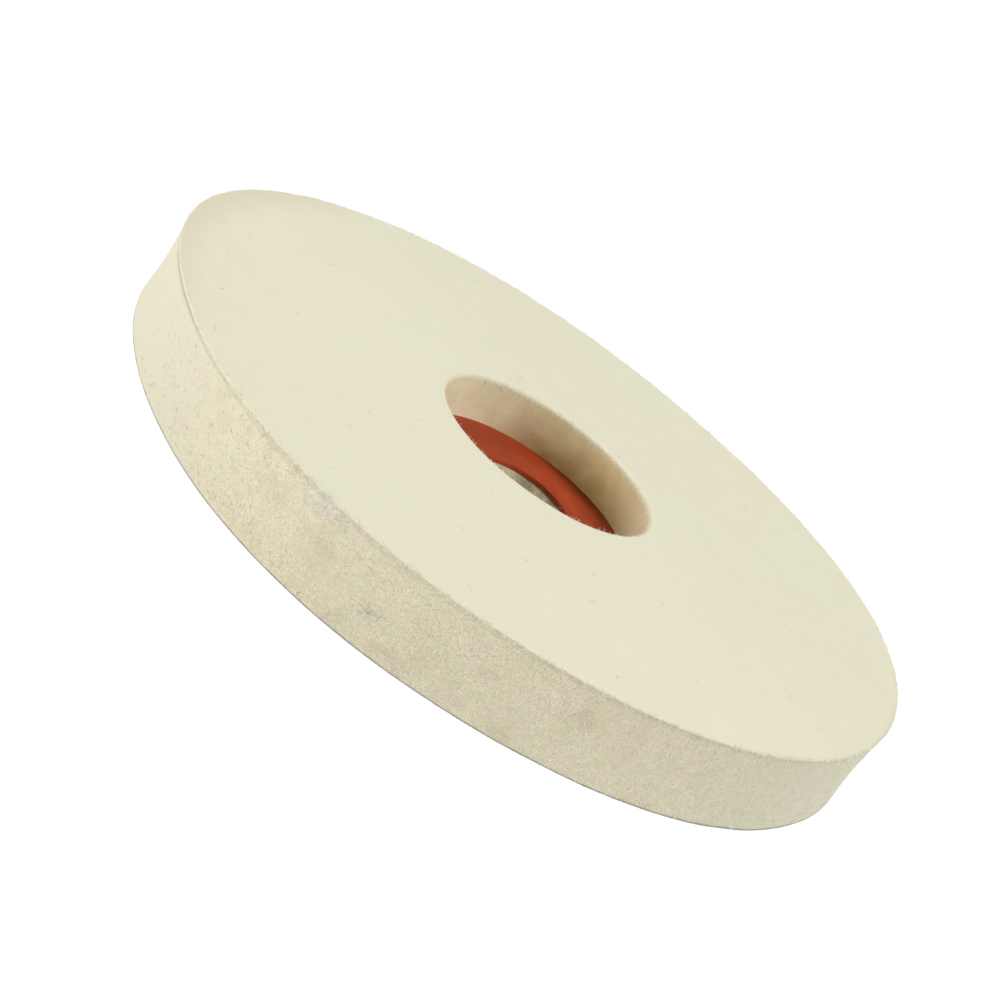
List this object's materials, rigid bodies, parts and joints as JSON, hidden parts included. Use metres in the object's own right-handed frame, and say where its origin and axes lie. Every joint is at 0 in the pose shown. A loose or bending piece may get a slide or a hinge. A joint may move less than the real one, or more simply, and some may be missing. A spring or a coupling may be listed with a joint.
{
  "type": "felt polishing wheel",
  "caption": "Flat pressed wool felt polishing wheel with a recessed hub and a red fibre washer around its arbor bore.",
  "frame": {"origin": "centre of the back face, on the wheel's axis", "axes": "+Z along the wheel's axis, out of the face that has the recess; the wheel is round, so +X and +Y are free"},
  "size_m": [0.1524, 0.1524, 0.0159],
  "materials": {
    "wool_felt": "matte",
    "vulcanised_fibre": "matte",
    "glue": "satin"
  },
  "bodies": {
    "root": {"felt_body": "wool_felt", "glue_film": "glue", "fibre_washer": "vulcanised_fibre"}
  },
  "joints": []
}
